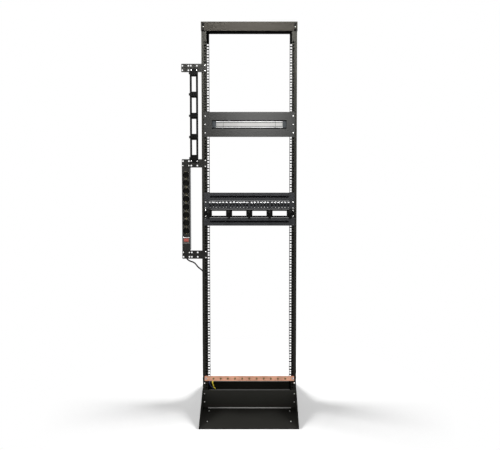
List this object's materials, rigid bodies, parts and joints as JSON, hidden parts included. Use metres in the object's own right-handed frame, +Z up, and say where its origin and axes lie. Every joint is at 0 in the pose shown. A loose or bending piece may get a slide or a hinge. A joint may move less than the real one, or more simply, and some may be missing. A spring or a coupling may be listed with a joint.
{
  "type": "two post open frame rack",
  "caption": "Two-post open frame equipment rack on a splayed foot, with side brackets, socket strip, cable organisers, brush, patch and rail panels and a copper earth bar.",
  "frame": {"origin": "on the floor, under the middle of the two posts", "axes": "+Z up, -Y to the front where panels are bolted on, +X to the viewer's right"},
  "size_m": [0.6129, 0.6, 2.08],
  "materials": {
    "frame_paint": "fine textured black powder coat",
    "panel_paint": "fine textured black powder coat",
    "bracket_paint": "satin black powder coat",
    "ring_paint": "satin black",
    "strip_shell": "black anodised",
    "strip_plastic": "matte black",
    "red_plastic": "translucent red, glossy",
    "zinc": "zinc plated",
    "bristle": "fine black bristles",
    "jack_plastic": "matte black",
    "label": "plain white",
    "copper": "bare drawn copper",
    "insulator": "moulded brown red",
    "yellow_sleeve": "yellow with a green stripe",
    "blue_sleeve": "dark blue",
    "cord_rubber": "matte black",
    "plug_plastic": "matte black"
  },
  "bodies": {
    "rack": {"left_post": "frame_paint", "right_post": "frame_paint", "top_crossbar": "frame_paint", "left_foot": "frame_paint", "right_foot": "frame_paint", "floor_plate": "frame_paint", "front_plinth_panel": "frame_paint", "rear_plinth_panel": "frame_paint", "rail_panel": "panel_paint", "upper_brush_panel": "panel_paint", "lower_brush_panel": "panel_paint", "patch_panel": "panel_paint", "ring_panel": "panel_paint", "side_organiser_panel": "panel_paint", "upper_side_bracket": "bracket_paint", "middle_side_bracket": "bracket_paint", "lower_side_bracket": "bracket_paint", "rail_brackets": "bracket_paint", "ring_panel_rings": "ring_paint", "side_organiser_rings": "ring_paint", "socket_strip_housing": "strip_shell", "socket_strip_ends": "strip_shell", "socket_strip_face": "strip_plastic", "switch_bezel": "strip_plastic", "mounting_rail": "zinc", "upper_brush": "bristle", "lower_brush": "bristle", "patch_jacks": "jack_plastic", "patch_labels": "label", "earth_bar": "copper", "bar_standoffs": "insulator", "yellow_earth_wire": "yellow_sleeve", "blue_earth_wire": "blue_sleeve", "mains_cord": "cord_rubber", "mains_cord_coil": "cord_rubber", "cord_gland": "cord_rubber", "mains_plug": "plug_plastic"},
    "rocker": {"switch_rocker": "red_plastic"}
  },
  "joints": [
    {"name": "rocker_pivot", "type": "hinge", "parent": "rack", "child": "rocker", "pos_m": [-0.33618, -0.0675, 0.9244], "axis": [1, 0, 0], "range_deg": [-14, 0]}
  ]
}
